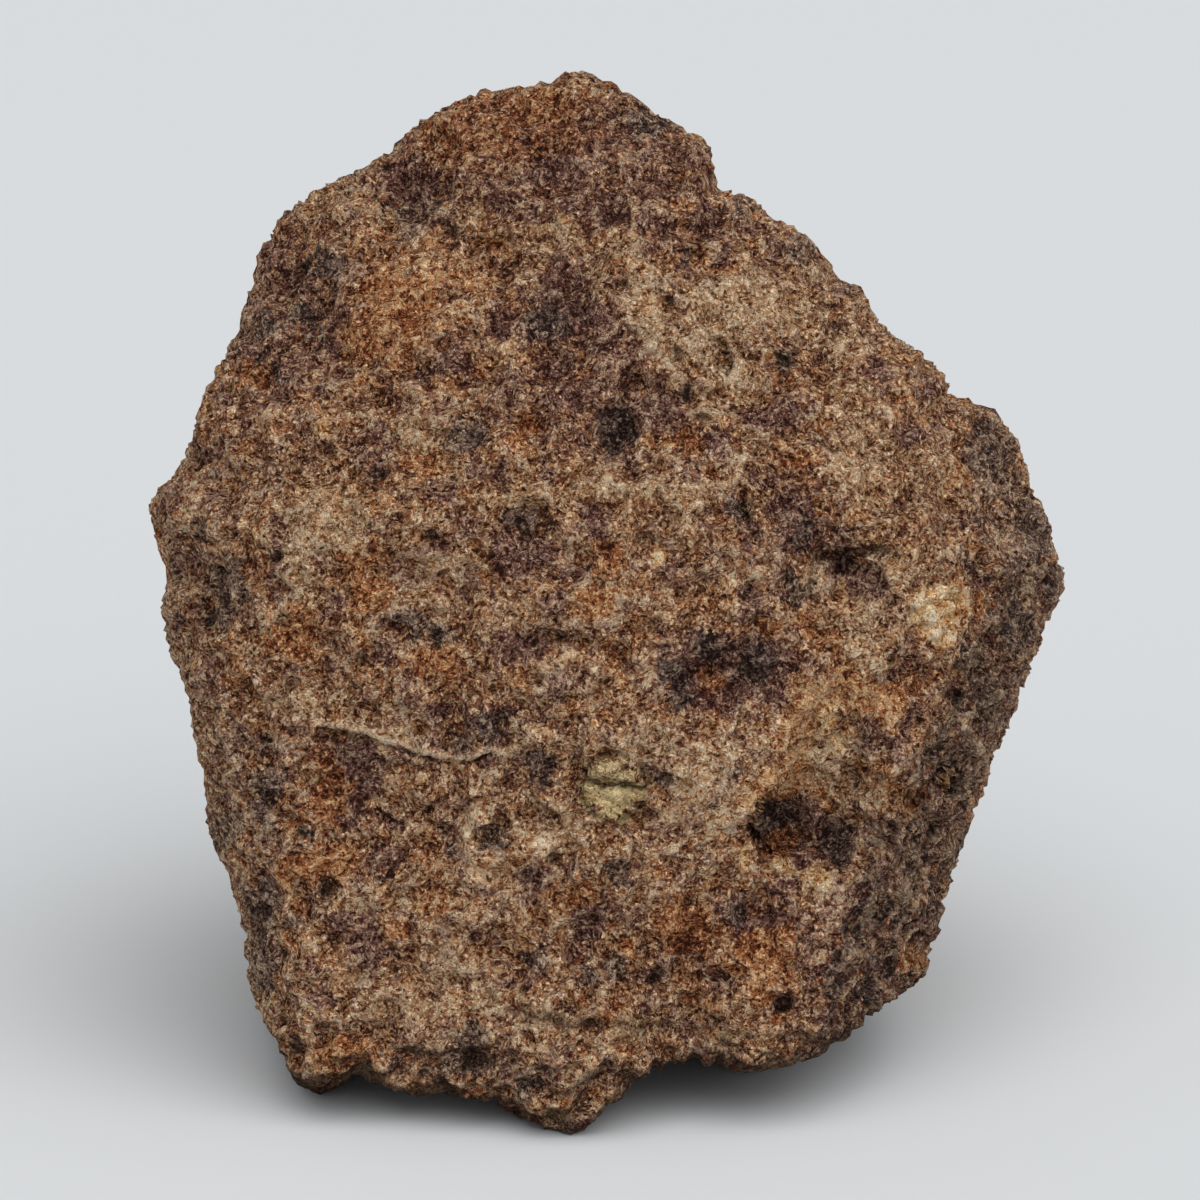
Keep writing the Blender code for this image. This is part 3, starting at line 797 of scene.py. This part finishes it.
# the sides, back and underside, which the photo doesn't show, carry the same kinds of stain
hidden = 1.0 - ease(toward_camera(points, normals), 0.0, 0.3)
places = np.flatnonzero(hidden > 0.5)
drift = np.stack([sway, sway_down, small_sway], axis=1) * 0.9 * MM
for _ in range(HIDDEN_STAINS):
    middle = points[places[draw.randrange(len(places))]]
    kind = draw.choices(list(stains), weights=HIDDEN_WEIGHTS)[0]
    radius = draw.uniform(0.7, 1.6) ** 2 * draw.choice((0.8, 1.2, 1.9)) * MM
    flatten = np.array([draw.uniform(0.6, 1.3), draw.uniform(0.6, 1.3), draw.uniform(0.8, 1.8)])
    away = np.linalg.norm((points + drift - middle) * flatten, axis=1) / radius
    value = (1.0 - ease(away, 0.5, 1.5)) * hidden * draw.uniform(0.55, 0.95)
    stains[kind] = np.maximum(stains[kind], value)

chalk_mark = (1.0 - ease(chalk_away, chalk_radius * 0.7, chalk_radius * 1.1)) * front * 0.5
for *patch, strength in CHALK_SPECKS:
    away = oval(swayed(0.0, SPECK_SWAY), *patch)
    chalk_mark = np.maximum(chalk_mark, (1.0 - ease(away, 0.6, 1.25)) * front * strength)
stains["chalk"] = chalk_mark
stains["inclusion"] = inclusion_mark
stains["crest"] = np.maximum(pale_lines_and_highlights, scoop_rust_and_light)
stains["shade"] = shade
stains["raised"] = raised
for name, value in stains.items():
    attribute = mesh.attributes.new(name, "FLOAT", "POINT")
    attribute.data.foreach_set("value", value.astype(np.float32))

# The stone, its material: weathered chondrite, broken and never polished. It is packed grains of
# 0.3 to 0.8 mm in rusty tan mud, so up close it looks like brown sugar, and it is matte. Sizes are
# in millimetres. The real dust is finer than here, and is drawn as coarse as it needs to show.
CLUMP = 0.85
FINE_CLUMP = 0.45 * CLUMP
DUST = 0.24
SPECK = 0.40
GRAIN = 0.75
THREAD_SPACING = 1.2
THREADS = [
    # spacing, half width in the noise's own values, height
    (THREAD_SPACING * 2.6, 0.011, 0.46), (THREAD_SPACING, 0.016, 0.46),
    (THREAD_SPACING * 0.55, 0.020, 0.30),
]
# size of the crumbs, and how much paler the palest are
CRUMB_SIZES = {0.62: 0.16, 0.34: 0.22}
MUD = [
    (0.00, "#23120B"), (0.20, "#4F2D1B"), (0.40, "#80553A"), (0.58, "#A47754"), (0.78, "#C69972"),
    (1.00, "#EED2B0"),
]
STAIN_COLOURS = {
    "plum": [
        (0.00, "#24100B"), (0.25, "#482A22"), (0.50, "#6E4A48"), (0.75, "#997262"),
        (1.00, "#D0B094"),
    ],
    "slate": [
        (0.00, "#1B1310"), (0.25, "#3B302C"), (0.50, "#61564F"), (0.75, "#927C6C"),
        (1.00, "#C9AF98"),
    ],
    "rust": [
        (0.00, "#2C140A"), (0.25, "#63321C"), (0.50, "#9E5A33"), (0.75, "#C88A57"),
        (1.00, "#ECC393"),
    ],
    "tan": [
        (0.00, "#382317"), (0.25, "#724B33"), (0.50, "#AD7F57"), (0.75, "#D5AC80"),
        (1.00, "#F5DEBD"),
    ],
}
STAIN_LIFT = {"plum": -0.12, "slate": -0.15, "rust": -0.02, "tan": 0.09}
STAIN_SHARE = {"plum": 0.80, "slate": 0.65, "rust": 0.85, "tan": 0.60}
CHALK_COLOURS = [(0.00, "#5E3318"), (0.35, "#C4824A"), (0.70, "#F8CB8C"), (1.00, "#FFEBCB")]
INCLUSION_COLOURS = [(0.0, "#2C1C12"), (0.35, "#7E5C3C"), (0.6, "#BB9562"), (1.0, "#F2D9A4")]
DEEP_SHADE = "#1F110B"
PALENESS = -0.89
GRAIN_WEIGHT = 1.08
MOTTLE_WEIGHT = 0.5
ZONE_WEIGHT = 0.4
RELIEF_SHADING_WEIGHT = 0.30
JOINT_WEIGHT = -0.35
SPECK_DARKNESS = -0.30
PALE_CREST_AND_HIGHLIGHT_LIFT = 0.34
SHADE_SHARE = 0.88
BUMP_HEIGHT = 0.34 * MM
ROUGHNESS = (0.68, 0.94)
SPECULAR = 0.08

chondrite = bpy.data.materials.new("weathered chondrite")
chondrite.use_nodes = True
tree = chondrite.node_tree
shader = tree.nodes["Principled BSDF"]
coordinates = add(tree, "TexCoord", {})
scaled = add(tree, "VectorMath", {
    "operation": "SCALE", 0: coordinates.outputs["Object"], "Scale": 1 / MM,
})
curl = add(tree, "TexNoise", {"Vector": scaled.outputs[0], "Scale": 1.1, "Detail": 2.0})
bent, less_bent = [
    add(tree, "VectorMath", {
        "operation": "MULTIPLY_ADD", 0: curl.outputs["Color"], 1: (bend, bend, bend),
        2: scaled.outputs[0],
    })
    for bend in (1.2, 0.5)
]
clumps, fine_clumps = [
    add(tree, "TexNoise", {
        "Vector": vector.outputs[0], "Scale": 1.0 / size, "Detail": 3.0, "Roughness": 0.6,
    })
    for vector, size in ((bent, CLUMP), (less_bent, FINE_CLUMP))
]
grain = add(tree, "TexNoise", {
    "Vector": bent.outputs[0], "Scale": 1.0 / GRAIN, "Detail": 4.0, "Roughness": 0.83,
})
specks = add(tree, "TexNoise", {
    "Vector": less_bent.outputs[0], "Scale": 1.0 / SPECK, "Detail": 1.5, "Roughness": 0.6,
})
dust = add(tree, "TexNoise", {
    "Vector": less_bent.outputs[0], "Scale": 1.0 / DUST, "Detail": 1.0, "Roughness": 0.7,
})
crumb = {}
for size in CRUMB_SIZES:
    cells = add(tree, "TexVoronoi", {"Vector": less_bent.outputs[0], "Scale": 1.0 / size})
    chance = add(tree, "SeparateColor", {0: cells.outputs["Color"]})
    joint = add(tree, "MapRange", {
        "Value": cells.outputs["Distance"], "From Min": 0.40, "From Max": 0.75,
    })
    crumb[size] = (chance.outputs[0], chance.outputs[1], joint.outputs[0])
mottle = add(tree, "TexNoise", {
    "Vector": scaled.outputs[0], "Scale": 0.42, "Detail": 3.0, "Roughness": 0.65,
})
zones = add(tree, "TexNoise", {
    "Vector": bent.outputs[0], "Scale": 0.15, "Detail": 3.0, "Roughness": 0.6, "Distortion": 0.6,
})
hue = add(tree, "TexNoise", {
    "Vector": bent.outputs[0], "Scale": 0.40, "Detail": 4.0, "Roughness": 0.65,
})
ragged = add(tree, "TexNoise", {
    "Vector": bent.outputs[0], "Scale": 1.3, "Detail": 4.0, "Roughness": 0.75,
})
marks = {
    name: add(tree, "Attribute", {"attribute_name": name}).outputs["Fac"] for name in stains
}

# curly threads of mud in the joints between grains: the lines where a noise crosses its middle
threads = []
for size, width, height in THREADS:
    wave = add(tree, "TexNoise", {"Vector": bent.outputs[0], "Scale": 1.0 / size, "Detail": 1.0})
    away = add(tree, "Math", {"operation": "SUBTRACT", 0: wave.outputs[0], 1: 0.5})
    away = add(tree, "Math", {"operation": "ABSOLUTE", 0: away.outputs[0]})
    threads.append(add(tree, "MapRange", {
        "interpolation_type": "SMOOTHSTEP", "Value": away.outputs[0], "From Min": width,
        "From Max": 0.0, "To Max": height,
    }))

# what stands proud: clumps, dust and threads. Each noise rises between two of its values.
parts = []
for noisy, low, high, height in (
    (clumps, 0.49, 0.56, 0.22), (fine_clumps, 0.50, 0.57, 0.30), (dust, 0.55, 0.63, 0.32),
    (dust, 0.46, 0.36, -0.16),
):
    parts.append(add(tree, "MapRange", {
        "interpolation_type": "SMOOTHSTEP", "Value": noisy.outputs[0], "From Min": low,
        "From Max": high, "To Max": height,
    }))
relief = parts[0]
for part in parts[1:] + threads:
    relief = add(tree, "Math", {"operation": "ADD", 0: relief.outputs[0], 1: part.outputs[0]})

# how pale each grain is: what stands proud, the grain and mottling of every size, and painted light
# and shade: raised parts paler, low parts darker
texture = add(tree, "Math", {"operation": "ADD", 0: relief.outputs[0], 1: PALENESS})
weights = [
    (grain.outputs[0], GRAIN_WEIGHT), (mottle.outputs[0], MOTTLE_WEIGHT),
    (zones.outputs[0], ZONE_WEIGHT), (marks["raised"], RELIEF_SHADING_WEIGHT),
]
for size, height in CRUMB_SIZES.items():
    weights += [(crumb[size][0], height), (crumb[size][2], JOINT_WEIGHT * height)]
for value, weight in weights:
    texture = add(tree, "Math", {
        "operation": "MULTIPLY_ADD", 0: value, 1: weight, 2: texture.outputs[0],
    })
dark_specks = add(tree, "MapRange", {
    "interpolation_type": "SMOOTHSTEP", "Value": specks.outputs[0], "From Min": 0.53,
    "From Max": 0.61, "To Max": SPECK_DARKNESS,
})
texture = add(tree, "Math", {"operation": "ADD", 0: texture.outputs[0], 1: dark_specks.outputs[0]})

# the pale crests and their painted highlights lift it, and the stains make it darker or paler, with
# ragged edges
broken = {}
level = add(tree, "Math", {
    "operation": "MULTIPLY_ADD", 0: marks["crest"], 1: PALE_CREST_AND_HIGHLIGHT_LIFT, 2: texture.outputs[0],
})
for name, lift in STAIN_LIFT.items():
    edge = add(tree, "Math", {"operation": "MULTIPLY_ADD", 0: ragged.outputs[0], 1: 2.0, 2: -1.0})
    edge = add(tree, "Math", {"operation": "ADD", 0: edge.outputs[0], 1: marks[name]})
    broken[name] = add(tree, "MapRange", {
        "interpolation_type": "SMOOTHSTEP", "Value": edge.outputs[0], "From Min": 0.28,
        "From Max": 0.62, "To Max": STAIN_SHARE[name],
    })
    level = add(tree, "Math", {
        "operation": "MULTIPLY_ADD", 0: broken[name].outputs[0], 1: lift, 2: level.outputs[0],
    })

# the colour: mud, then tan, rust and plum by chance, then the stains
colour = add(tree, "ValToRGB", {"Fac": level.outputs[0], "colours": MUD}).outputs[0]
tinted = {
    name: add(tree, "ValToRGB", {"Fac": level.outputs[0], "colours": colours}).outputs[0]
    for name, colours in STAIN_COLOURS.items()
}
crumb_hue = crumb[max(CRUMB_SIZES)][1]
for name, value, low, high, share in (
    ("tan", mottle.outputs[0], 0.52, 0.64, 0.55), ("rust", hue.outputs[0], 0.52, 0.64, 0.85),
    ("plum", hue.outputs[0], 0.48, 0.38, 0.80), ("rust", crumb_hue, 0.70, 0.85, 0.40),
    ("plum", crumb_hue, 0.25, 0.10, 0.50),
):
    by_chance = add(tree, "MapRange", {
        "Value": value, "From Min": low, "From Max": high, "To Max": share,
    })
    colour = add(tree, "Mix", {
        "data_type": "RGBA", 0: by_chance.outputs[0], 6: colour, 7: tinted[name],
    }).outputs[2]
for name in STAIN_COLOURS:
    colour = add(tree, "Mix", {
        "data_type": "RGBA", 0: broken[name].outputs[0], 6: colour, 7: tinted[name],
    }).outputs[2]

# the chalky grains, the round inclusion, and the painted shade in cracks, pits, hollows, at the
# foot of ledges, on the lower right flank and on the undersides
for name, gain, lift, base, colours in (
    ("chalk", 1.6, 0.50, -0.18, CHALK_COLOURS), ("inclusion", 1.2, 0.50, -0.20, INCLUSION_COLOURS),
):
    share = add(tree, "Math", {"operation": "MULTIPLY", 0: marks[name], 1: gain, "use_clamp": True})
    pale = add(tree, "Math", {
        "operation": "MULTIPLY_ADD", 0: marks[name], 1: lift, 2: texture.outputs[0],
    })
    pale = add(tree, "Math", {"operation": "ADD", 0: pale.outputs[0], 1: base})
    paint = add(tree, "ValToRGB", {"Fac": pale.outputs[0], "colours": colours})
    colour = add(tree, "Mix", {
        "data_type": "RGBA", 0: share.outputs[0], 6: colour, 7: paint.outputs[0],
    }).outputs[2]
shaded = add(tree, "Math", {"operation": "MULTIPLY", 0: marks["shade"], 1: SHADE_SHARE})
colour = add(tree, "Mix", {
    "data_type": "RGBA", 0: shaded.outputs[0], 6: colour, 7: linear(DEEP_SHADE),
}).outputs[2]
tree.links.new(colour, shader.inputs["Base Color"])

# the finest relief, which the skin is too coarse to hold: pale grains stand about 0.1 mm proud
bump = add(tree, "Bump", {"Height": relief.outputs[0], "Distance": BUMP_HEIGHT, "Strength": 1.0})
tree.links.new(bump.outputs[0], shader.inputs["Normal"])
dull = add(tree, "MapRange", {
    "Value": level.outputs[0], "To Min": ROUGHNESS[0], "To Max": ROUGHNESS[1],
})
tree.links.new(dull.outputs[0], shader.inputs["Roughness"])
shader.inputs["Specular IOR Level"].default_value = SPECULAR

mesh.materials.clear()
mesh.materials.append(chondrite)
bpy.ops.object.shade_smooth()
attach(meteorite, "root")
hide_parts("stone")

# The size: the finished stone's box.
low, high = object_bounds()
